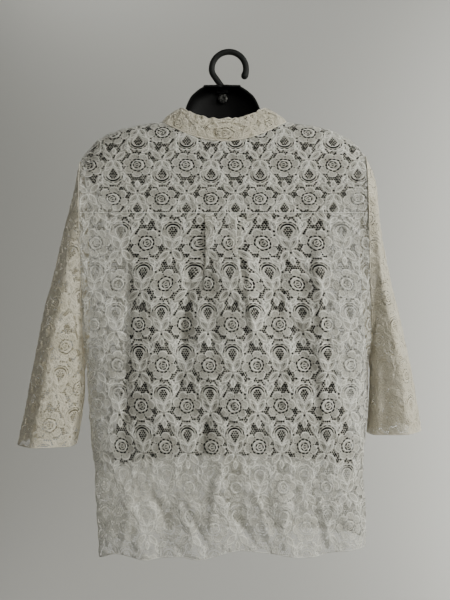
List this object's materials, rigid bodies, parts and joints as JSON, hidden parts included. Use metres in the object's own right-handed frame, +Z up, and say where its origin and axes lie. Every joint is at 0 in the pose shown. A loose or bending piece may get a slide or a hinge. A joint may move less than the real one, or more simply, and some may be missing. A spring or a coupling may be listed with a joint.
{
  "type": "lace shirt on a hanging half torso form",
  "caption": "Loose lace shirt with gathered stand collar, back yoke with box pleat, dropped three-quarter sleeves and buttoned front, hung on a hollow black torso form with its own hook",
  "frame": {"origin": "the inside top of the hook, where it bears on a peg or a rail", "axes": "+Z up, the front of the shirt faces -Y, its back faces +Y, the wearer's left is +X"},
  "size_m": [0.603, 0.1846, 0.7525],
  "materials": {
    "lace": "cream allover floral cotton lace, net ground with raised outlines",
    "doubled_lace": "the same cream lace over cloth of its own colour, nearly opaque",
    "button": "pearl polyester",
    "form_plastic": "black moulded polystyrene, satin",
    "hook_nylon": "black moulded nylon",
    "screw_steel": "blackened steel"
  },
  "bodies": {
    "root": {"yoke": "lace", "back": "lace", "front_left": "lace", "front_right": "lace", "sleeve_left": "doubled_lace", "sleeve_right": "doubled_lace", "collar": "doubled_lace", "button_1": "button", "button_2": "button", "button_3": "button", "button_4": "button", "button_5": "button", "button_6": "button", "button_7": "button", "form_shell": "form_plastic", "hook": "hook_nylon", "hook_screw": "screw_steel"}
  },
  "joints": []
}
